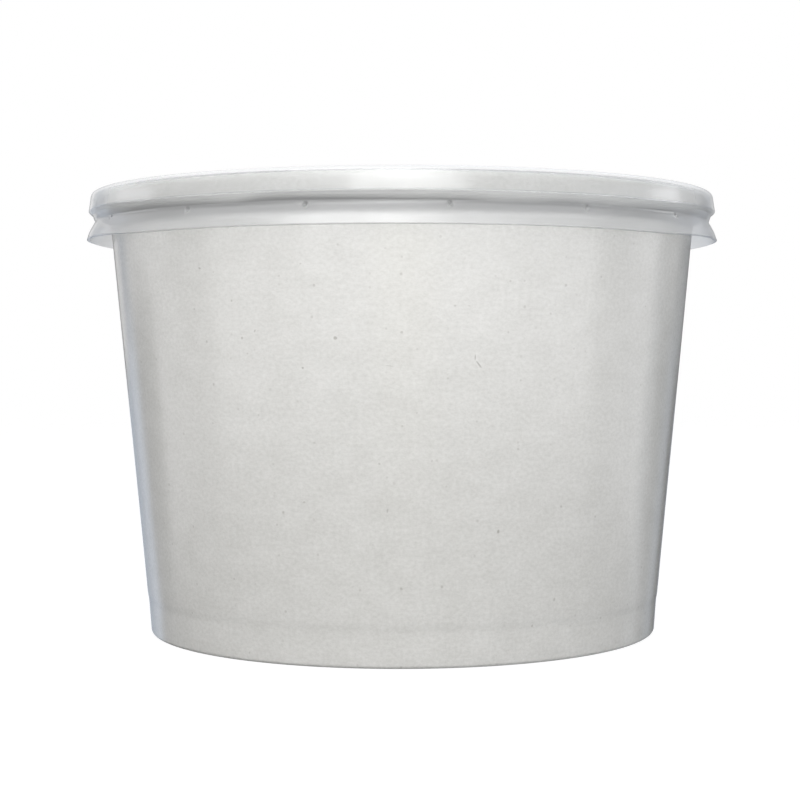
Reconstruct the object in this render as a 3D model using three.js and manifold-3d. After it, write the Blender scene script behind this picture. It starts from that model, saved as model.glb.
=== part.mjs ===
// A round takeaway soup container: a tapered paperboard cup with a rolled rim,
// its crimped-in base disc, and a thin translucent lid snapped over the rim.
// Millimetres, +Z up. The origin is the centre of the foot, on the table.
import * as THREE from 'three';
import { mergeVertices } from 'three/addons/utils/BufferGeometryUtils.js';
import Module from 'manifold-3d';

const wasm = await Module();
wasm.setup();

// Driving dimensions
const FOOT_RADIUS = 46.5; // outside of the cup at the table
const WALL_TAPER = 0.0936; // how much the wall's radius grows for each millimetre of height
const LID_TOP = 79.6; // height of the closed container
const LID_SHEET = 0.5; // thickness of the lid
const FIT_GAP = 0.35; // clearance that the lid and the base disc keep to the cup
const SEGMENTS = 72; // facets round every turned piece

// Cup: the foot, where the wall is folded up round the base disc
const FOLD_WIDTH = 1.4; // the folded board at the foot, through all its layers
const FOLD_HEIGHT = 5.4;
const FOLD_ROUNDING = 0.4;
const HEEL_HEIGHT = 6.0; // the crimped band stands almost straight up to here
const HEEL_SPREAD = 0.45; // how much wider its top is than its foot

// Base disc, held in a slot above the fold
const DISC_THICKNESS = 0.6;
const DISC_EDGE = 0.8; // how far the disc reaches in over the fold
const DISC_UNDERSIDE = FOLD_HEIGHT + FIT_GAP;

// Cup: the rolled rim, an upright oval in section
const RIM_RADIUS = 54.65; // middle of the roll
const RIM_HALF_WIDTH = 1.45;
const RIM_HALF_HEIGHT = 1.9;
const RIM_HEIGHT = LID_TOP - LID_SHEET - FIT_GAP - RIM_HALF_HEIGHT;
const RIM_CREASE = 1.25; // below the roll's middle, where its underside leaves the wall
const RIM_START = -125; // degrees round the roll's section, just outside that crease
const RIM_STEPS = 15;

// Lid: the sunk panel with a raised plateau that centres a container stacked on it
const PANEL_SINK = 5.4; // below the top of the lid
const PLATEAU_RISE = 1.0;
const PLATEAU_RADIUS = 43.4;
const PLATEAU_RAMP = 0.9;
const PLUG_RADIUS = 52.1; // the wall that drops inside the cup's mouth, at its foot
const PLUG_DRAFT = 0.25;
const PLUG_FILLET = 1.2;

// Lid: the bead over the rim, the neck that grips below it, and the flared skirt
const BEAD_RADIUS = 57.35;
const CROWN_FILLET = 1.0;
const SHOULDER_FILLET = 1.4;
const BEAD_FOOT = 3.2; // below the top of the lid
const STEP_WIDTH = 0.7;
const STEP_DROP = 0.7;
const NECK_RADIUS = 56.2;
const NECK_DROP = 5.5; // below the top of the lid
const SKIRT_RADIUS = 57.75;
const SKIRT_DROP = 8.8; // below the top of the lid
const SKIRT_SWEEP = 75; // degrees of a sine wave that the flare follows
const SKIRT_STEPS = 4;

// Lid: the snap nubs inside the neck
const NUB_COUNT = 15;
const NUB_RADIUS = 0.7;
const NUB_DROP = 5.95; // below the top of the lid
const FIRST_NUB = THREE.MathUtils.degToRad(8.4); // angle from the front, towards +X

const PAPER = new THREE.MeshStandardMaterial({ color: 0xe4e2dc, roughness: 0.55, metalness: 0 });
const PAPER_BASE = new THREE.MeshStandardMaterial({ color: 0xdedcd5, roughness: 0.6, metalness: 0 });
const LID_PLASTIC = new THREE.MeshStandardMaterial({
  color: 0xe6e9ea,
  roughness: 0.28,
  metalness: 0,
  transparent: true,
  opacity: 0.55,
});

const MERGE_DISTANCE = 1e-4;

const point = (radius, height) => new THREE.Vector2(radius, height);

const wallRadius = (height) => FOOT_RADIUS + WALL_TAPER * height;

// Points along an oval round a centre, from one angle to another in degrees, both ends included.
function oval(centre, halfWidth, halfHeight, from, to, steps) {
  return Array.from({ length: steps + 1 }, (_, i) => {
    const angle = THREE.MathUtils.degToRad(from + ((to - from) * i) / steps);
    return point(centre.x + halfWidth * Math.cos(angle), centre.y + halfHeight * Math.sin(angle));
  });
}

const fillet = (centre, size, from, to, steps) => oval(centre, size, size, from, to, steps);

// The same path moved sideways by a distance, to the right of its direction.
function offsetPath(path, distance) {
  const last = path.length - 1;
  return path.map((p, i) => {
    const before = p.clone().sub(path[Math.max(i - 1, 0)]).normalize();
    const after = path[Math.min(i + 1, last)].clone().sub(p).normalize();
    const along = before.clone().add(after).normalize();
    const straight = i === 0 || i === last ? 1 : along.dot(after);
    const reach = distance / straight;
    return point(p.x + along.y * reach, p.y - along.x * reach);
  });
}

// A turned piece: its profile runs from the axis up round the outside and back to the axis.
function turned(profile) {
  return new THREE.LatheGeometry(profile, SEGMENTS).rotateX(Math.PI / 2);
}

// The cup as one outline: the slot for the base disc, the folded foot, the tapered wall,
// the rolled rim, the inside of the mouth and the level just below the lid's panel.
function cupProfile() {
  const foldInside = FOOT_RADIUS - FOLD_WIDTH;
  const slotTop = DISC_UNDERSIDE + DISC_THICKNESS + FIT_GAP;
  const slotRadius = foldInside + DISC_EDGE;
  const mouthRadius = RIM_RADIUS - RIM_HALF_WIDTH;
  const mouthFloor = LID_TOP - PANEL_SINK - LID_SHEET - FIT_GAP;
  const wallTop = RIM_HEIGHT - RIM_CREASE;
  const rim = point(RIM_RADIUS, RIM_HEIGHT);
  return [
    point(0, slotTop),
    point(slotRadius, slotTop),
    point(slotRadius, FOLD_HEIGHT),
    point(foldInside, FOLD_HEIGHT),
    point(foldInside, FOLD_ROUNDING),
    point(foldInside + FOLD_ROUNDING, 0),
    point(FOOT_RADIUS - FOLD_ROUNDING, 0),
    point(FOOT_RADIUS, FOLD_ROUNDING),
    point(FOOT_RADIUS + HEEL_SPREAD, HEEL_HEIGHT),
    point(wallRadius(HEEL_HEIGHT + 1), HEEL_HEIGHT + 1),
    point(wallRadius(wallTop), wallTop),
    ...oval(rim, RIM_HALF_WIDTH, RIM_HALF_HEIGHT, RIM_START, 180, RIM_STEPS),
    point(mouthRadius, mouthFloor),
    point(0, mouthFloor),
  ];
}

// The board disc that closes the bottom of the cup.
function discProfile() {
  const radius = FOOT_RADIUS - FOLD_WIDTH + DISC_EDGE - FIT_GAP;
  return [
    point(0, DISC_UNDERSIDE),
    point(radius, DISC_UNDERSIDE),
    point(radius, DISC_UNDERSIDE + DISC_THICKNESS),
    point(0, DISC_UNDERSIDE + DISC_THICKNESS),
  ];
}

// The skirt's flare: it leaves the neck steeply outward and ends almost upright.
function skirtPath() {
  const sweep = THREE.MathUtils.degToRad(SKIRT_SWEEP);
  return Array.from({ length: SKIRT_STEPS }, (_, i) => {
    const share = (i + 1) / SKIRT_STEPS;
    const flare = Math.sin(share * sweep) / Math.sin(sweep);
    return point(
      NECK_RADIUS + (SKIRT_RADIUS - NECK_RADIUS) * flare,
      LID_TOP - NECK_DROP - (SKIRT_DROP - NECK_DROP) * share,
    );
  });
}

// The lid's upper face, from its middle over the bead and out to the lip of the skirt.
function lidUpperPath() {
  const panel = LID_TOP - PANEL_SINK;
  const plugBend = point(PLUG_RADIUS - PLUG_FILLET, panel + PLUG_FILLET);
  const crownBend = point(PLUG_RADIUS + PLUG_DRAFT + CROWN_FILLET, LID_TOP - CROWN_FILLET);
  const shoulder = point(BEAD_RADIUS - SHOULDER_FILLET, LID_TOP - SHOULDER_FILLET);
  return [
    point(0, panel + PLATEAU_RISE),
    point(PLATEAU_RADIUS, panel + PLATEAU_RISE),
    point(PLATEAU_RADIUS + PLATEAU_RAMP, panel),
    ...fillet(plugBend, PLUG_FILLET, -90, 0, 3),
    ...fillet(crownBend, CROWN_FILLET, 180, 90, 3),
    ...fillet(shoulder, SHOULDER_FILLET, 90, 0, 4),
    point(BEAD_RADIUS, LID_TOP - BEAD_FOOT),
    point(BEAD_RADIUS - STEP_WIDTH, LID_TOP - BEAD_FOOT - STEP_DROP),
    point(NECK_RADIUS, LID_TOP - NECK_DROP),
    ...skirtPath(),
  ];
}

// The lid's sheet: the lower face going out from the axis, the upper face coming back.
function lidProfile() {
  const upper = lidUpperPath();
  const lower = offsetPath(upper, LID_SHEET);
  return [...lower, ...upper.reverse()];
}

// A closed geometry as a solid that can be joined to another.
function solidOf(geometry) {
  const bare = geometry.index ? geometry.toNonIndexed() : geometry.clone();
  bare.deleteAttribute('normal');
  bare.deleteAttribute('uv');
  const merged = mergeVertices(bare, MERGE_DISTANCE);
  return new wasm.Manifold(
    new wasm.Mesh({
      numProp: 3,
      vertProperties: merged.attributes.position.array,
      triVerts: new Uint32Array(merged.index.array),
    }),
  );
}

function geometryOf(solid) {
  const mesh = solid.getMesh();
  return new THREE.BufferGeometry()
    .setAttribute('position', new THREE.BufferAttribute(mesh.vertProperties, 3))
    .setIndex(new THREE.BufferAttribute(mesh.triVerts, 1));
}

// One snap nub, sunk half into the inside of the neck, at an angle from the front.
function nub(angle) {
  const reach = NECK_RADIUS - LID_SHEET;
  return new THREE.IcosahedronGeometry(NUB_RADIUS, 1).translate(
    reach * Math.sin(angle),
    -reach * Math.cos(angle),
    LID_TOP - NUB_DROP,
  );
}

function lidGeometry() {
  let lid = solidOf(turned(lidProfile()));
  for (let i = 0; i < NUB_COUNT; i++) {
    lid = lid.add(solidOf(nub(FIRST_NUB + (2 * Math.PI * i) / NUB_COUNT)));
  }
  return geometryOf(lid);
}

function piece(name, geometry, material) {
  const mesh = new THREE.Mesh(geometry, material);
  mesh.name = name;
  return mesh;
}

const container = new THREE.Group();
container.add(piece('cup', turned(cupProfile()), PAPER));
container.add(piece('base_disc', turned(discProfile()), PAPER_BASE));
container.add(piece('lid', lidGeometry(), LID_PLASTIC));

export default container;
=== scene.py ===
# Round takeaway soup container: coated paper cup with a rolled rim, thin clear lid pressed over it.
import math
import random

import bpy
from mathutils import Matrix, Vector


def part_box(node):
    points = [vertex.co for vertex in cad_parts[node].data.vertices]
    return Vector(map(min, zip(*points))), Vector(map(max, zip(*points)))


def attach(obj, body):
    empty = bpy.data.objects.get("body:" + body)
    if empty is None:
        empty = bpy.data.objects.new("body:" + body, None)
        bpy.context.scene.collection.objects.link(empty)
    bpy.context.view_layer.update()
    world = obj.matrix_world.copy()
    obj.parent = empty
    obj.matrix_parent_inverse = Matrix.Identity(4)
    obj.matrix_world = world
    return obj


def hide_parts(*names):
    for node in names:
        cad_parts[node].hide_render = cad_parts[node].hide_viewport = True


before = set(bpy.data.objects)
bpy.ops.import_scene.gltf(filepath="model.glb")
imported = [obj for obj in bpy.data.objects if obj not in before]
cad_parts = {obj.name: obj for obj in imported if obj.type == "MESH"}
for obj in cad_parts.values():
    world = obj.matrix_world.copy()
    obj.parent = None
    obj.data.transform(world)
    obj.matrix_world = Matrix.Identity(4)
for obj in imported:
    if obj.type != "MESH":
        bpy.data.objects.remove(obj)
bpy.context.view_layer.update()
print("frame loaded,", len(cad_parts), "solids")

mm = 0.001


# camera

cameraPlace = {
    "distance": 321.1,  # from the container's axis
    "height": 49.7,
    "pitch": 1.35,  # degrees that it looks down
    "roll": 0.13,  # degrees
    "lens": 77.4,
    "shiftX": -0.0027,  # share of the frame's width
}


def placeCamera():
    place = cameraPlace
    data = bpy.data.cameras.new("frontCamera")
    data.lens = place["lens"]
    data.sensor_width = 36
    data.shift_x = place["shiftX"]
    camera = bpy.data.objects.new("frontCamera", data)
    camera.location = (0, -place["distance"] * mm, place["height"] * mm)
    camera.rotation_euler = (math.radians(90 - place["pitch"]), math.radians(place["roll"]), 0)
    bpy.context.scene.collection.objects.link(camera)
    bpy.context.scene.camera = camera


placeCamera()
print("camera placed")


# shared mesh tools

def ovalArc(middle, halfSize, start, stop, steps, boxiness):
    # points on an oval round middle, from one angle to another in degrees; above 2 its sides are flattened
    points = []
    for i in range(steps + 1):
        a = math.radians(start + (stop - start) * i / steps)
        parts = []
        for part, half in zip((math.cos(a), math.sin(a)), halfSize):
            parts.append(half * math.copysign(abs(part) ** (2 / boxiness), part))
        points.append((middle[0] + parts[0], middle[1] + parts[1]))
    return points


def roundedPath(corners, stepDegrees=9):
    # corners are (radius, height, rounding); each inner corner becomes a short arc
    path = [corners[0][:2]]
    for before, here, after in zip(corners, corners[1:], corners[2:]):
        inX, inY = before[0] - here[0], before[1] - here[1]
        outX, outY = after[0] - here[0], after[1] - here[1]
        inLength, outLength = math.hypot(inX, inY), math.hypot(outX, outY)
        inX, inY, outX, outY = inX / inLength, inY / inLength, outX / outLength, outY / outLength
        corner = math.acos(max(-1, min(1, inX * outX + inY * outY)))
        if here[2] == 0 or corner > math.radians(179):
            path.append(here[:2])
            continue
        reach = min(here[2] / math.tan(corner / 2), 0.49 * inLength, 0.49 * outLength)
        size = reach * math.tan(corner / 2)
        midX, midY = inX + outX, inY + outY
        midLength = math.hypot(midX, midY)
        away = size / math.sin(corner / 2)
        middle = (here[0] + midX / midLength * away, here[1] + midY / midLength * away)
        first = math.atan2(here[1] + inY * reach - middle[1], here[0] + inX * reach - middle[0])
        last = math.atan2(here[1] + outY * reach - middle[1], here[0] + outX * reach - middle[0])
        turn = (last - first + math.pi) % (2 * math.pi) - math.pi
        steps = max(2, math.ceil(abs(math.degrees(turn)) / stepDegrees))
        for i in range(steps + 1):
            a = first + turn * i / steps
            path.append((middle[0] + size * math.cos(a), middle[1] + size * math.sin(a)))
    path.append(corners[-1][:2])
    return path


def splitLong(path, longest):
    # the same path with no stretch longer than longest
    fine = [path[0]]
    for a, b in zip(path, path[1:]):
        parts = max(1, math.ceil(math.dist(a, b) / longest))
        for i in range(1, parts + 1):
            fine.append((a[0] + (b[0] - a[0]) * i / parts, a[1] + (b[1] - a[1]) * i / parts))
    return fine


def offsetPath(path, distance):
    # a copy of the path, moved to the right of the way it runs
    moved = []
    for i, here in enumerate(path):
        a, b = path[max(i - 1, 0)], path[min(i + 1, len(path) - 1)]
        along = math.dist(a, b)
        right, down = (b[1] - a[1]) / along * distance, (b[0] - a[0]) / along * distance
        moved.append((here[0] + right, here[1] - down))
    return moved


def turnedPiece(name, path, angles, shape, uvRadius):
    # turns a path of (radius, height) round the axis; shape moves each point of the skin
    verts, rings = [], []
    for radius, height in path:
        if radius < 1e-6:
            rings.append([len(verts)] * len(angles))
            verts.append((0, 0, height * mm))
            continue
        ring = []
        for angle in angles:
            r, z = shape(angle, radius, height)
            ring.append(len(verts))
            verts.append((r * mm * math.sin(angle), -r * mm * math.cos(angle), z * mm))
        rings.append(ring)
    lengths = [0]
    for a, b in zip(path, path[1:]):
        lengths.append(lengths[-1] + math.dist(a, b))
    faces, corners = [], []
    for i in range(len(rings) - 1):
        for j in range(len(angles)):
            k = (j + 1) % len(angles)
            turnTo = angles[k] if k else angles[0] + 2 * math.pi
            face = [(rings[i][j], angles[j], i), (rings[i][k], turnTo, i)]
            face += [(rings[i + 1][k], turnTo, i + 1), (rings[i + 1][j], angles[j], i + 1)]
            kept = [c for n, c in enumerate(face) if c[0] != face[n - 1][0]]
            faces.append([c[0] for c in kept])
            corners += [(c[1] * uvRadius * mm, lengths[c[2]] * mm) for c in kept]
    mesh = bpy.data.meshes.new(name)
    mesh.from_pydata(verts, [], faces)
    layer = mesh.uv_layers.new(name="skin")
    layer.data.foreach_set("uv", [x for c in corners for x in c])
    mesh.shade_smooth()
    mesh.update()
    piece = bpy.data.objects.new(name, mesh)
    bpy.context.scene.collection.objects.link(piece)
    return piece


def evenAngles(count):
    return [-math.pi + 2 * math.pi * i / count for i in range(count)]


def waves(seed, count, low, high):
    # a slow, seeded wobble round the axis, from -1 to 1, of waves that go round between low and high times
    rng = random.Random(seed)
    parts = []
    for _ in range(count):
        parts.append((rng.randint(low, high), rng.uniform(0, 2 * math.pi), rng.uniform(0.4, 1)))
    total = sum(size for _, _, size in parts)
    return lambda angle: sum(size * math.sin(n * angle + at) for n, at, size in parts) / total


def ease(x, start, stop):
    # 0 before start, 1 after stop, smooth between
    t = max(0, min(1, (x - start) / (stop - start)))
    return t * t * (3 - 2 * t)


def band(x, rise, fall):
    # 1 in a band and 0 outside it: up over the stretch rise, down over the stretch fall
    return ease(x, *rise) * (1 - ease(x, *fall))


# paper cup

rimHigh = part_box("cup")[1]
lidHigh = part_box("lid")[1]

cup = {
    "footRadius": 46.5,
    "taper": 0.0936,  # radius gained for each mm of height
    "heelHeight": 6.0,  # the band pressed round the base board
    "heelSpread": 0.45,
    "foldWidth": 1.4,  # three layers of board at the foot
    "foldHeight": 5.4,
    "boardEdge": 0.8,  # how far the base board's slot reaches into the wall
    "boardSlot": 6.6,  # underside of the closed inside, over the base board
    "crease": 1.25,  # below the roll's middle, where the wall meets it
    "rimMiddle": (54.65, rimHigh.z / mm - 1.75),
    "rimHalf": (1.5, 2.05),
    "rimTilt": 0.0034,  # lower at the right, as the lid is
    "tiltStart": 68,  # height from which the wall takes up that tilt
    "rimBoxiness": 3.0,  # the curl is pressed flat against the lid's bead
    "curlReach": 2.2,  # how far below its middle the curl's lower half ends
    "curlInner": 53.6,  # radius outside which that half hangs unevenly
    "rimSag": 0.15,  # how unevenly
    # where it dips: degrees from the front, how far, over how many degrees
    "rimDips": [
        (-29.4, 0.30, 3.5), (-33, 0.2, 9), (2, 0.36, 11), (16, 0.42, 5), (22.7, 0.28, 3.5), (36, 0.5, 14),
    ],
    "mouthFloor": lidHigh.z / mm - 6.25,  # plain level just under the lid
    "mouthEdge": (54.2, 53.3),  # radii between which the painted shade of the mouth sets in
    "mouthShade": 3.5,  # how far above that level the painted shade reaches
    "columns": 288,
    "skinRadius": 50,  # at which the skin is laid out flat for the texture
    "seamAngle": 172.0,  # degrees from the front, where the outer layer ends
    "seamWidth": 8.0,
    "seamStep": 0.32,  # thickness of one layer
    "seamGap": (0.0004, 0.004),  # how close to the edge its extra columns stand
    "wobble": 0.07,
    "wobbleTwist": 0.01,  # how far the wobble turns for each mm of height
    "wobbleStart": 8,  # height below which it fades out
}

seamStart = math.radians(cup["seamAngle"])
seamSpan = cup["seamWidth"] / cup["skinRadius"]
wallWobble = waves(3, 6, 2, 9)
rimWobble = waves(11, 7, 3, 14)


def seamHeight(angle):
    # the glued overlap: a sharp edge on one side, a soft swell on the other
    past = (seamStart - angle) % (2 * math.pi)
    if past > math.pi:
        return 0
    return cup["seamStep"] * (1 - ease(past, seamSpan, seamSpan * 1.4))


def wallRadius(height):
    return cup["footRadius"] + cup["taper"] * height


def cupPath():
    inside = cup["footRadius"] - cup["foldWidth"]
    heel = cup["heelHeight"]
    wallTop = cup["rimMiddle"][1] - cup["crease"]
    corners = [
        (0, cup["boardSlot"], 0),
        (inside + cup["boardEdge"], cup["boardSlot"], 0),
        (inside + cup["boardEdge"], cup["foldHeight"], 0),
        (inside, cup["foldHeight"], 0.25),
        (inside, 0, 0.5),
        (cup["footRadius"], 0, 0.68),
        (cup["footRadius"] + cup["heelSpread"], heel, 6),
        (wallRadius(heel + 1.2), heel + 1.2, 8),
        (wallRadius(wallTop), wallTop, 0.2),
    ]
    path = splitLong(roundedPath(corners), 3.0)
    path += ovalArc(cup["rimMiddle"], cup["rimHalf"], -120, 180, 48, cup["rimBoxiness"])
    mouth, low = cup["rimMiddle"][0] - cup["rimHalf"][0], cup["mouthFloor"]
    return path + [(mouth, low), (mouth - 1, low), (0, low)]


def skinLength(path, height):
    # how far along the path the outside of the wall is at that height
    run = 0
    for a, b in zip(path, path[1:]):
        if a[0] > cup["footRadius"] - 0.1 and a[1] <= height < b[1]:
            return run + math.dist(a, b) * (height - a[1]) / (b[1] - a[1])
        run += math.dist(a, b)


def cupShape(angle, radius, height):
    foot, curlMiddle, curlHalf = cup["footRadius"], cup["rimMiddle"][1], cup["rimHalf"][1]
    curlEnd = curlMiddle - cup["curlReach"]
    # the outer skin, from the rounding of the foot to the top of the roll
    if radius > foot - 0.7 and height < curlMiddle + curlHalf - 0.2:
        radius += seamHeight(angle) * ease(radius, foot - 0.6, foot)
        uneven = wallWobble(angle + height * cup["wobbleTwist"])
        radius += cup["wobble"] * uneven * ease(height, 0, cup["wobbleStart"])
    if radius > cup["curlInner"] and curlEnd < height < curlMiddle:
        sag = cup["rimSag"] * rimWobble(angle)
        for place, dip, width in cup["rimDips"]:
            sag += dip * math.exp(-((math.degrees(angle) - place) / width) ** 2)
        height -= sag * (curlMiddle - height) / curlHalf
    height -= cup["rimTilt"] * radius * math.sin(angle) * ease(height, cup["tiltStart"], curlEnd)
    return radius, height


def cupAngles():
    angles = evenAngles(cup["columns"])
    edge = (seamStart + math.pi) % (2 * math.pi) - math.pi
    for gap in cup["seamGap"]:
        angles += [edge - gap, edge + gap]
    return sorted(angles)


# paper

paperLook = {
    "light": (0.862, 0.857, 0.827),
    "dark": (0.713, 0.708, 0.673),
    "speck": (0.26, 0.24, 0.20),
    "roughness": (0.11, 0.21),
    "grain": 1700,  # noise scale on metres: about 0.6 mm
    "grainStretch": 0.75,  # fibres lie slightly along the roll
    "cloudSize": 7,  # how many times wider the soft clouds are than the grain
    "cloudShare": 0.35,
    "toneRange": (0.44, 0.91),  # sums of grain and clouds that give the dark and the light tone
    "bump": 0.10,
    # cells for each metre of skin, share of the cells that hold a speck, its size in cells, strongest tone
    "specks": [(150, 0.6, 0.045, 0.34), (420, 0.14, 0.1, 0.27)],
    "speckCore": 0.4,  # share of a speck's size that is fully dark
    "markEdge": (1.25, 0.7),  # shares of a mark's size at which its dark fades in and is full
    "inside": 0.42,  # how much of the paper's tone the painted shade leaves on the unlit level under the lid
    # colour of the painted shade on that level
    "paintedShadeColour": (0.05, 0.05, 0.05),
}

# bits in the pulp that stand out: degrees from the front, height, length, width, lean in degrees, darkness
pulpMarks = [
    (-11.8, 53.1, 0.60, 0.54, 0, 0.52),
    (13.0, 50.0, 0.90, 0.21, 90, 0.48),
    (13.7, 48.9, 1.35, 0.25, -52, 0.48),
    (-2.2, 48.7, 1.40, 0.15, -8, 0.25),
    (18.4, 22.1, 0.60, 0.42, 80, 0.45),
    (-18.0, 48.4, 0.36, 0.34, 0, 0.50),
    (-30.0, 53.2, 0.46, 0.44, 30, 0.38),
    (-38.8, 64.6, 0.52, 0.32, -20, 0.40),
    (-27.2, 54.3, 0.50, 0.30, 65, 0.36),
    (-29.0, 50.7, 0.40, 0.32, 0, 0.24),
    (-31.8, 59.2, 0.36, 0.34, 0, 0.34),
    (-37.3, 45.7, 0.46, 0.40, 70, 0.26),
    (-18.7, 26.9, 0.44, 0.32, 0, 0.28),
    (-17.7, 64.8, 0.36, 0.24, 0, 0.28),
    (-2.8, 25.7, 0.70, 0.30, 80, 0.30),
    (-4.2, 33.2, 0.38, 0.34, 0, 0.28),
    (9.2, 58.1, 0.42, 0.32, 10, 0.26),
    (11.7, 58.1, 0.45, 0.22, 0, 0.16),
    (31.9, 25.7, 0.46, 0.40, 0, 0.28),
    (31.5, 10.4, 0.60, 0.40, 75, 0.28),
    (26.6, 6.3, 0.46, 0.32, 80, 0.34),
]


def newMaterial(name):
    material = bpy.data.materials.new(name)
    material.use_nodes = True
    nodes, links = material.node_tree.nodes, material.node_tree.links
    return material, nodes, links, nodes["Principled BSDF"]


def addNode(nodes, kind, **values):
    node = nodes.new(kind)
    for name, value in values.items():
        if hasattr(node, name):
            setattr(node, name, value)
        else:
            node.inputs[name.replace("_", " ")].default_value = value
    return node


def feed(links, socket, value):
    # links an output to the socket, or sets a number or a colour on it
    if isinstance(value, bpy.types.NodeSocket):
        links.new(value, socket)
    else:
        socket.default_value = (*value, 1) if isinstance(value, tuple) else value


def mixColours(nodes, links, share, first, second):
    mix = addNode(nodes, "ShaderNodeMix", data_type="RGBA")
    for place, value in ((0, share), (6, first), (7, second)):
        feed(links, mix.inputs[place], value)
    return mix.outputs[2]


def mixShaders(nodes, links, share, first, second):
    mix = addNode(nodes, "ShaderNodeMixShader")
    for socket, value in zip(mix.inputs, (share, first, second)):
        feed(links, socket, value)
    return mix.outputs[0]


def calculate(nodes, links, operation, first, second):
    node = addNode(nodes, "ShaderNodeMath", operation=operation)
    for socket, value in zip(node.inputs, (first, second)):
        feed(links, socket, value)
    return node.outputs[0]


def ramp(nodes, links, value, start, stop, low=0.0, high=1.0, kind="LINEAR"):
    # low where the value is at start, high where it is at stop
    node = addNode(nodes, "ShaderNodeMapRange", interpolation_type=kind)
    links.new(value, node.inputs["Value"])
    for name, limit in (("From Min", start), ("From Max", stop), ("To Min", low), ("To Max", high)):
        node.inputs[name].default_value = limit
    return node.outputs[0]


def vectorLength(nodes, links, vector):
    node = addNode(nodes, "ShaderNodeVectorMath", operation="LENGTH")
    links.new(vector, node.inputs[0])
    return node.outputs["Value"]


def placeParts(nodes, links):
    # the point on the piece, in metres, and its X, Y and Z
    place = addNode(nodes, "ShaderNodeTexCoord")
    parts = addNode(nodes, "ShaderNodeSeparateXYZ")
    links.new(place.outputs["Object"], parts.inputs[0])
    return place.outputs["Object"], parts.outputs


def pulpSpecks(nodes, links, skin, cells, share, size, strongest):
    # small dark bits at random in the pulp, most of them faint
    grid = addNode(nodes, "ShaderNodeTexVoronoi", voronoi_dimensions="2D", Scale=cells)
    links.new(skin, grid.inputs["Vector"])
    tone = addNode(nodes, "ShaderNodeSeparateColor")
    links.new(grid.outputs["Color"], tone.inputs[0])
    dot = ramp(nodes, links, grid.outputs["Distance"], size, size * paperLook["speckCore"])
    chosen = ramp(nodes, links, tone.outputs[0], 1 - share, 1)
    faint = calculate(nodes, links, "POWER", chosen, 2)
    dark = calculate(nodes, links, "MULTIPLY", faint, strongest)
    return calculate(nodes, links, "MULTIPLY", dot, dark)


def pulpMark(nodes, links, skin, mark):
    # one bit that stands out: a soft-edged oval on the skin
    angle, height, length, width, lean, darkness = mark
    along, up = math.radians(angle) * cup["skinRadius"] * mm, skinLength(cupPath(), height) * mm
    oval = addNode(nodes, "ShaderNodeMapping", vector_type="TEXTURE")
    oval.inputs["Location"].default_value = (along, up, 0)
    oval.inputs["Rotation"].default_value = (0, 0, math.radians(lean))
    oval.inputs["Scale"].default_value = (length / 2 * mm, width / 2 * mm, 1)
    links.new(skin, oval.inputs["Vector"])
    away = vectorLength(nodes, links, oval.outputs[0])
    return ramp(nodes, links, away, *paperLook["markEdge"], high=darkness)


def insideShade(nodes, links):
    # painted shade: the level just under the lid gets little light, so the paper's colour is darkened
    # there; returns how much, 0 on the outside
    place, parts = placeParts(nodes, links)
    flat = addNode(nodes, "ShaderNodeVectorMath", operation="MULTIPLY")
    flat.inputs[1].default_value = (1, 1, 0)
    links.new(place, flat.inputs[0])
    radius = vectorLength(nodes, links, flat.outputs[0])
    level = cup["mouthFloor"]
    within = ramp(nodes, links, radius, *(edge * mm for edge in cup["mouthEdge"]))
    high = ramp(nodes, links, parts["Z"], (level - 1) * mm, level * mm)
    top = (level + cup["mouthShade"]) * mm
    shade = ramp(nodes, links, parts["Z"], top, level * mm, high=1 - paperLook["inside"])
    for factor in (within, high):
        shade = calculate(nodes, links, "MULTIPLY", shade, factor)
    return shade


def makePaper():
    look = paperLook
    material, nodes, links, shader = newMaterial("coatedPaper")
    place = addNode(nodes, "ShaderNodeUVMap", uv_map="skin")
    skin = place.outputs[0]
    stretch = addNode(nodes, "ShaderNodeMapping")
    stretch.inputs["Scale"].default_value = (look["grainStretch"], 1, 1)
    links.new(skin, stretch.inputs["Vector"])
    grain = addNode(nodes, "ShaderNodeTexNoise", Scale=look["grain"], Detail=4.0, Roughness=0.72)
    cloud = addNode(nodes, "ShaderNodeTexNoise", Scale=look["grain"] / look["cloudSize"], Detail=2.0)
    for node in (grain, cloud):
        links.new(stretch.outputs[0], node.inputs["Vector"])
    clouds = calculate(nodes, links, "MULTIPLY", cloud.outputs["Fac"], look["cloudShare"])
    both = calculate(nodes, links, "ADD", grain.outputs["Fac"], clouds)
    tone = ramp(nodes, links, both, *look["toneRange"])
    colour = mixColours(nodes, links, tone, look["dark"], look["light"])
    bits = 0
    for specks in look["specks"]:
        bits = calculate(nodes, links, "MAXIMUM", pulpSpecks(nodes, links, skin, *specks), bits)
    for mark in pulpMarks:
        bits = calculate(nodes, links, "MAXIMUM", pulpMark(nodes, links, skin, mark), bits)
    colour = mixColours(nodes, links, bits, colour, look["speck"])
    # painted shade: the paper is darkened on the mouth's level under the lid, where little light gets
    colour = mixColours(nodes, links, insideShade(nodes, links), colour, look["paintedShadeColour"])
    links.new(colour, shader.inputs["Base Color"])
    gloss = ramp(nodes, links, grain.outputs["Fac"], 0, 1, *look["roughness"])
    links.new(gloss, shader.inputs["Roughness"])
    bump = addNode(nodes, "ShaderNodeBump", Strength=look["bump"], Distance=0.0002)
    links.new(grain.outputs["Fac"], bump.inputs["Height"])
    links.new(bump.outputs[0], shader.inputs["Normal"])
    return material


def makeCup():
    piece = turnedPiece("paperCup", cupPath(), cupAngles(), cupShape, cup["skinRadius"])
    piece.data.materials.append(paper)
    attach(piece, "root")
    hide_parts("cup")


paper = makePaper()
makeCup()
print("paper cup made")


# base board, seen from below

board = {
    "underside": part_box("base_disc")[0].z / mm,
    "thickness": 0.6,
    "radius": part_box("base_disc")[1].x / mm,
    "bevel": 0.1,
    "sag": 0.25,  # how far its underside hangs down in the middle
    "columns": 144,
    "skinRadius": 30,
}


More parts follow.
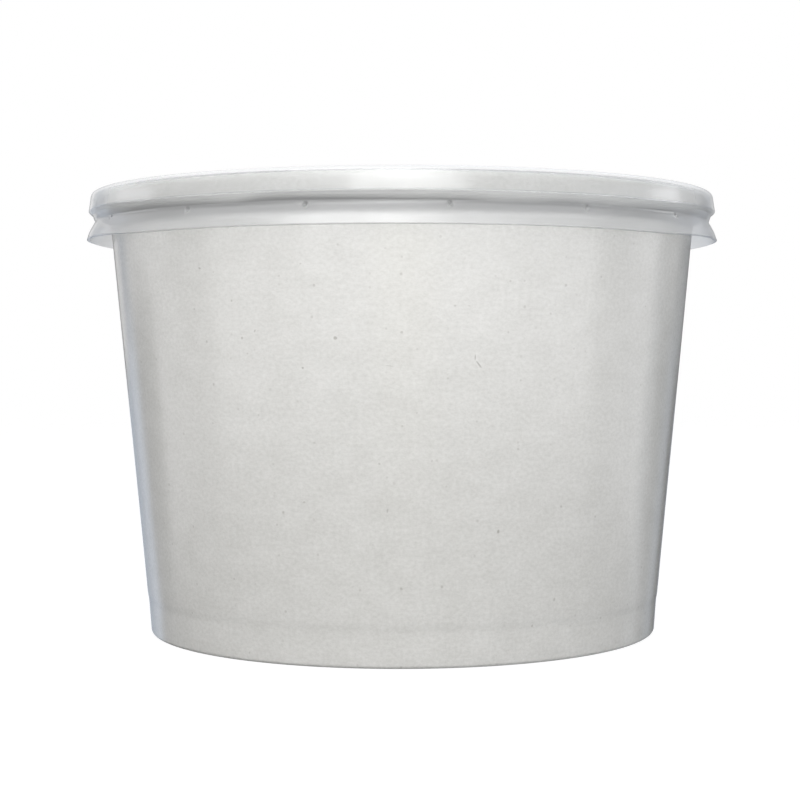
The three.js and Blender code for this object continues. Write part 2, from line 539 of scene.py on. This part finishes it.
def boardShape(angle, radius, height):
    sag = board["sag"] * (1 - (radius / board["radius"]) ** 2)
    return radius, height - sag * (height < board["underside"] + board["bevel"])


def makeBoard():
    low, high = board["underside"], board["underside"] + board["thickness"]
    edge, bevel = board["radius"], board["bevel"]
    path = [(0, low - board["sag"])] + [(edge * i / 10, low) for i in range(1, 10)]
    path += [(edge - bevel, low), (edge, low + bevel)]
    path += [(edge, high - bevel), (edge - bevel, high), (0, high)]
    piece = turnedPiece("baseBoard", path, evenAngles(board["columns"]), boardShape, board["skinRadius"])
    piece.data.materials.append(paper)
    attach(piece, "root")
    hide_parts("base_disc")


makeBoard()
print("base board made")


# translucent lid

lid = {
    "top": lidHigh.z / mm,
    "sheet": 0.5,
    "plateau": (43.4, 4.4),  # radius, and depth below the top
    "plateauRamp": 0.9,
    "panelDepth": 5.4,
    "plugRadius": 52.0,
    "beadInner": 52.35,
    "beadRadius": 57.4,
    "beadSlope": 0.5,  # how much narrower the bead is at its top
    "beadFoot": 3.3,
    "stepRadius": 56.65,
    "stepDepth": 3.95,
    "neckRadius": 56.2,
    "neckDepth": 5.5,
    "skirtRadius": lidHigh.x / mm,
    "skirtDepth": 8.8,
    "skirtBend": (0.45, 1.3),  # how far inside and above its edge the skirt turns downward
    "columns": 216,
    "skinRadius": 57,
    "nubColumns": 8,  # extra ones to each side of a nub's middle
    "fineDepth": 4.4,  # below the top, from which the outer sheet is cut fine for the nubs
    "fineWidth": 0.6,  # how far inside the neck that begins
    "finest": 0.13,
    # how the thin sheet is bent; each band is where that sets in and ends, as depths below the top
    "bentWidth": 1.5,  # how far inside the neck this begins
    "footSag": 0.6,  # how much lower the bead's foot hangs at the front
    "footBand": ((0.3, 3.3), (3.6, 5.5)),
    "skirtSag": 0.2,  # and the edge of the skirt
    "skirtStart": 3.6,
    "endLift": 0.45,  # how much higher the skirt stands at both sides
    "liftRise": (4.0, 6.5),
    "sides": (0.72, 1.0),  # sines of the angle from the front, from the front to the sides
    "beadWobble": 0.08,
    "beadBand": ((2.2, 3.6), (4.6, 5.6)),
    "skirtWobble": 0.10,
    "skirtRise": 0.6,  # share of that wobble by which it also goes up and down
    "tilt": 0.0034,  # lower at the right
    "frontNubs": (-61.6, -37.6, -15.4, 7.6, 31.3, 54.4),  # degrees from the front
    "backNubs": 9,  # evenly round the rest
    "nubDepth": 5.9,
    "nubSize": 0.55,
    "nubPush": 0.75,  # how far it is pressed in
}

beadWobble = waves(21, 6, 2, 8)
skirtWobble = waves(31, 7, 2, 9)
nubStep = (360 + lid["frontNubs"][0] - lid["frontNubs"][-1]) / (lid["backNubs"] + 1)
nubAngles = [math.radians(a) for a in lid["frontNubs"]]
nubAngles += [math.radians(lid["frontNubs"][-1] + nubStep * (i + 1)) for i in range(lid["backNubs"])]


def lidPath():
    top, (plateauRadius, plateauDepth) = lid["top"], lid["plateau"]
    bendIn, bendUp = lid["skirtBend"]
    corners = [
        (0, top - plateauDepth, 0),
        (plateauRadius, top - plateauDepth, 0.7),
        (plateauRadius + lid["plateauRamp"], top - lid["panelDepth"], 0.7),
        (lid["plugRadius"], top - lid["panelDepth"], 1.2),
        (lid["beadInner"], top, 1.0),
        (lid["beadRadius"] - lid["beadSlope"], top, 0.9),
        (lid["beadRadius"], top - lid["beadFoot"], 0.25),
        (lid["stepRadius"], top - lid["stepDepth"], 0.35),
        (lid["neckRadius"], top - lid["neckDepth"], 0.9),
        (lid["skirtRadius"] - bendIn, top - lid["skirtDepth"] + bendUp, 4.0),
        (lid["skirtRadius"], top - lid["skirtDepth"], 0),
    ]
    rounded = roundedPath(corners)

    def atNubs(point):
        return point[0] >= lid["neckRadius"] - lid["fineWidth"] and point[1] <= top - lid["fineDepth"]

    upper = [p for p in splitLong(rounded, 8) if not atNubs(p)]
    upper += [p for p in splitLong(rounded, lid["finest"]) if atNubs(p)]
    lower = offsetPath(upper, lid["sheet"])
    lower[0] = (0, lower[0][1])
    return lower + upper[::-1]


def nearestNub(angle):
    off = min(abs((angle - nub + math.pi) % (2 * math.pi) - math.pi) for nub in nubAngles)
    return off * lid["neckRadius"]


def lidShape(angle, radius, height):
    depth = lid["top"] - height
    if radius > lid["neckRadius"] - lid["bentWidth"]:
        side = ease(abs(math.sin(angle)), *lid["sides"])
        height -= lid["footSag"] * (1 - side) * band(depth, *lid["footBand"])
        height -= lid["skirtSag"] * (1 - side) * ease(depth, lid["skirtStart"], lid["skirtDepth"])
        height += lid["endLift"] * side * ease(depth, *lid["liftRise"])
        height += lid["beadWobble"] * beadWobble(angle) * band(depth, *lid["beadBand"])
        flare = ease(depth, lid["neckDepth"], lid["skirtDepth"])
        radius += lid["skirtWobble"] * skirtWobble(angle) * flare
        height += lid["skirtRise"] * lid["skirtWobble"] * beadWobble(angle + 1) * flare
        away = math.hypot(nearestNub(angle), depth - lid["nubDepth"]) / lid["nubSize"]
        if away < 1:
            radius -= lid["nubPush"] * (1 - away * away) ** 2
    height -= lid["tilt"] * radius * math.sin(angle)
    return radius, height


def lidAngles():
    angles = evenAngles(lid["columns"])
    around, extra = lid["nubSize"] / lid["neckRadius"], lid["nubColumns"]
    clear = [a for a in angles if nearestNub(a) > lid["nubSize"] * 1.1]
    for nub in nubAngles:
        for i in range(-extra, extra + 1):
            a = nub + around * i / extra
            clear.append((a + math.pi) % (2 * math.pi) - math.pi)
    return sorted(clear)


plasticLook = {
    "colour": (0.95, 0.96, 0.97),
    "clearColour": (0.99, 0.993, 0.996),
    "roughness": 0.18,
    # share that the sheet scatters where it is seen square on: over the paper rim, and below it
    "milk": (0.16, 0.28),
    "milkDepth": (3.5, 4.3),  # below the top, between which the first goes over into the second
    "slant": -0.6,  # how fast the milk thickens towards the sheet's edges; 0 is not at all
    "backlit": 0.25,  # share of the milk that shows the light behind it
    "mirror": (0.11, 0.45),  # share that it mirrors, square on and edge on
    "lightThrough": 0.9,  # share of the lamps' light on the paper that the sheet doesn't weaken
    "haze": 900,
    "bump": 0.006,
}


def makePlastic():
    look = plasticLook
    material, nodes, links, skin = newMaterial("translucentPlastic")
    skin.inputs["Base Color"].default_value = (*look["colour"], 1)
    skin.inputs["Roughness"].default_value = look["roughness"]
    skin.inputs["IOR"].default_value = 1.49
    facing = addNode(nodes, "ShaderNodeLayerWeight", Blend=0.5).outputs["Facing"]
    # the same from both sides of the sheet, unlike the Fresnel node
    grazing = calculate(nodes, links, "POWER", facing, 5)
    mirror = ramp(nodes, links, grazing, 0, 1, *look["mirror"])
    clear = addNode(nodes, "ShaderNodeBsdfTransparent")
    clear.inputs["Color"].default_value = (*look["clearColour"], 1)
    gloss = addNode(nodes, "ShaderNodeBsdfGlossy", Roughness=look["roughness"])
    sheet = mixShaders(nodes, links, mirror, clear.outputs[0], gloss.outputs[0])
    behind = addNode(nodes, "ShaderNodeBsdfTranslucent")
    behind.inputs["Color"].default_value = (*look["colour"], 1)
    milk = mixShaders(nodes, links, look["backlit"], skin.outputs[0], behind.outputs[0])
    # the more the sheet is seen from the side, the longer the way through it and the milkier it looks
    square = calculate(nodes, links, "SUBTRACT", 1, facing)
    slant = calculate(nodes, links, "POWER", square, look["slant"])
    place, parts = placeParts(nodes, links)
    high, low = ((lid["top"] - depth) * mm for depth in look["milkDepth"])
    overRim, below = (1 - share for share in look["milk"])
    clearness = ramp(nodes, links, parts["Z"], low, high, below, overRim)
    seenThrough = calculate(nodes, links, "POWER", clearness, slant)
    whole = mixShaders(nodes, links, seenThrough, milk, sheet)
    ray = addNode(nodes, "ShaderNodeLightPath").outputs
    towardsLight = calculate(nodes, links, "MAXIMUM", ray["Is Shadow Ray"], ray["Is Diffuse Ray"])
    spared = calculate(nodes, links, "MULTIPLY", towardsLight, look["lightThrough"])
    # the sheet acts once, where a ray enters it, and lets the ray out freely at its other face
    leaving = addNode(nodes, "ShaderNodeNewGeometry").outputs["Backfacing"]
    free = calculate(nodes, links, "MAXIMUM", leaving, spared)
    passing = mixShaders(nodes, links, free, whole, clear.outputs[0])
    links.new(passing, nodes["Material Output"].inputs["Surface"])
    haze = addNode(nodes, "ShaderNodeTexNoise", Scale=look["haze"], Detail=3.0)
    links.new(place, haze.inputs["Vector"])
    bump = addNode(nodes, "ShaderNodeBump", Strength=look["bump"], Distance=0.0002)
    links.new(haze.outputs["Fac"], bump.inputs["Height"])
    for node in (skin, gloss, behind):
        links.new(bump.outputs[0], node.inputs["Normal"])
    return material


def makeLid():
    piece = turnedPiece("clearLid", lidPath(), lidAngles(), lidShape, lid["skinRadius"])
    piece.data.materials.append(makePlastic())
    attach(piece, "root")
    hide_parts("lid")


makeLid()
print("lid made")


# studio

studio = {
    "backdrop": 1.0,  # brightness of the white behind the container
    "aimHeight": 0.04,  # at which the lamps point, in metres
    "floorRadius": 1.2,
    "floorFade": (0.3, 0.95),  # shares of that radius over which the floor gives way to the backdrop
    "floorColour": (0.2, 0.2, 0.2),
    "floorGlow": 0.89,
    "levelBlur": 0.01,  # how softly the levels of the surroundings meet
}

# name: power, degrees round from the camera to its right, degrees up, distance, width and height in metres
lamps = {
    "leftSoftbox": (0.32, -20, 40, 0.42, (0.30, 0.22)),
    "rightSoftbox": (0.05, 20, 40, 0.42, (0.30, 0.22)),
    "lowLeftSoftbox": (0.09, -25, 15, 0.50, (0.30, 0.30)),
    "stripSoftbox": (0.13, 2, 38, 0.42, (0.16, 0.30)),
    "lowStrip": (0.30, 2, 20, 0.45, (0.30, 0.16)),
}

# What stands round the object. Each level starts at a height, as the sine of the angle above the horizon,
# and lists (degrees round from the camera to its right, brightness, tint), each holding up to the next.
warm, white, cool, blue = (1.0, 0.99, 0.95), (0.98, 0.98, 1.0), (0.93, 0.98, 1.06), (0.84, 0.97, 1.19)
surround = [
    (-1.0, [(-180, 0.1, white), (-35, 0.0, white), (35, 0.2, cool)]),  # the floor close by
    (-0.3, [  # the table top behind
        (-180, 0.5, blue), (-150, 0.8, blue), (-138, 0.15, cool), (-118, 0.0, white), (118, 0.6, cool),
        (126, 0.1, cool), (138, 0.3, blue), (150, 0.0, blue), (163, 0.35, blue),
    ]),
    (-0.2, [  # the white table in front, as far as the camera
        (-180, 0.5, blue), (-150, 0.8, blue), (-138, 0.15, cool), (-118, 1.3, white), (-80, 2.8, white),
        (-40, 3.7, white), (-12, 4.2, warm), (12, 4.0, white), (40, 3.3, white), (80, 1.6, white),
        (118, 0.6, cool), (126, 0.1, cool), (138, 0.3, blue), (150, 0.0, blue), (163, 0.35, blue),
    ]),
    (-0.03, [  # white cards at both sides, a little behind
        (-180, 0.0, cool), (-163, 0.8, white), (-150, 0.4, blue), (-138, 0.9, white), (-126, 1.7, white),
        (-100, 0.0, white), (65, 0.7, cool), (100, 2.5, white), (118, 0.6, white), (138, 0.2, cool),
        (163, 0.0, cool),
    ]),
    (0.25, [(-180, 0.6, white), (-120, 0.0, white), (120, 0.6, cool)]),  # the wall behind
    # the ceiling, lighter over the backdrop
    (0.64, [(-180, 1.2, warm), (-120, 0.9, white), (25, 0.6, white), (120, 1.3, cool)]),
]
brightest = 5.0  # the ramps hold shares of this brightness


def surroundRing(nodes, links, turn, stops):
    # one level of the surroundings, by the direction round the object
    ring = addNode(nodes, "ShaderNodeValToRGB")
    ring.color_ramp.interpolation = "CONSTANT"
    marks = ring.color_ramp.elements
    while len(marks) > 1:
        marks.remove(marks[-1])
    for degrees, level, tint in stops:
        mark = marks[0] if degrees == stops[0][0] else marks.new(degrees / 360 + 0.5)
        mark.position = degrees / 360 + 0.5
        mark.color = (*(level / brightest * part for part in tint), 1)
    links.new(turn, ring.inputs[0])
    return ring.outputs[0]


def makeWorld():
    world = bpy.data.worlds.new("studioWalls")
    world.use_nodes = True
    nodes, links = world.node_tree.nodes, world.node_tree.links
    walls = nodes["Background"]
    walls.inputs["Strength"].default_value = brightest
    way = addNode(nodes, "ShaderNodeTexCoord")
    parts = addNode(nodes, "ShaderNodeSeparateXYZ")
    links.new(way.outputs["Generated"], parts.inputs[0])
    back = calculate(nodes, links, "MULTIPLY", parts.outputs["Y"], -1)
    angle = calculate(nodes, links, "ARCTAN2", parts.outputs["X"], back)
    turn = ramp(nodes, links, angle, -math.pi, math.pi)
    seen, blur = (0.0, 0.0, 0.0), studio["levelBlur"]  # black below the lowest level
    for height, stops in surround:
        above = ramp(nodes, links, parts.outputs["Z"], height - blur, height + blur)
        seen = mixColours(nodes, links, above, seen, surroundRing(nodes, links, turn, stops))
    links.new(seen, walls.inputs["Color"])
    backdrop = addNode(nodes, "ShaderNodeBackground", Strength=studio["backdrop"])
    backdrop.inputs["Color"].default_value = (1, 1, 1, 1)
    cameraRay = addNode(nodes, "ShaderNodeLightPath").outputs["Is Camera Ray"]
    both = mixShaders(nodes, links, cameraRay, walls.outputs[0], backdrop.outputs[0])
    links.new(both, nodes["World Output"].inputs["Surface"])
    bpy.context.scene.world = world


def makeLamp(name, power, turn, rise, away, size):
    data = bpy.data.lights.new(name, "AREA")
    data.shape = "ELLIPSE"
    data.size, data.size_y = size
    data.energy = power
    lamp = bpy.data.objects.new(name, data)
    a, e = math.radians(turn), math.radians(rise)
    x, y, z = math.sin(a) * math.cos(e), -math.cos(a) * math.cos(e), math.sin(e)
    lamp.location = (away * x, away * y, studio["aimHeight"] + away * z)
    lamp.rotation_euler = (math.radians(90) - e, 0, a)
    lamp.visible_camera = False
    bpy.context.scene.collection.objects.link(lamp)


def makeFloor():
    radius = studio["floorRadius"]
    angles = evenAngles(96)
    verts = [(0, 0, 0)] + [(radius * math.cos(a), radius * math.sin(a), 0) for a in angles]
    faces = [(0, 1 + i, 1 + (i + 1) % len(angles)) for i in range(len(angles))]
    mesh = bpy.data.meshes.new("paleFloor")
    mesh.from_pydata(verts, [], faces)
    floor = bpy.data.objects.new("paleFloor", mesh)
    floor.visible_diffuse = floor.visible_glossy = floor.visible_shadow = False
    bpy.context.scene.collection.objects.link(floor)
    material, nodes, links, shader = newMaterial("paleFloor")
    shader.inputs["Base Color"].default_value = (*studio["floorColour"], 1)
    shader.inputs["Roughness"].default_value = 0.9
    shader.inputs["Specular IOR Level"].default_value = 0.0
    shader.inputs["Emission Color"].default_value = (1, 1, 1, 1)
    cameraRay = addNode(nodes, "ShaderNodeLightPath").outputs["Is Camera Ray"]
    glow = calculate(nodes, links, "MULTIPLY", cameraRay, studio["floorGlow"])
    links.new(glow, shader.inputs["Emission Strength"])
    clear = addNode(nodes, "ShaderNodeBsdfTransparent")
    away = vectorLength(nodes, links, placeParts(nodes, links)[0])
    start, stop = (share * radius for share in studio["floorFade"])
    fade = ramp(nodes, links, away, start, stop, kind="SMOOTHSTEP")
    both = mixShaders(nodes, links, fade, shader.outputs[0], clear.outputs[0])
    links.new(both, nodes["Material Output"].inputs["Surface"])
    mesh.materials.append(material)


makeWorld()
for lampName, (power, turn, rise, away, size) in lamps.items():
    makeLamp(lampName, power, turn, rise, away, size)
makeFloor()
view = bpy.context.scene.view_settings
view.view_transform = "Standard"
view.look = "None"
print("studio lit")
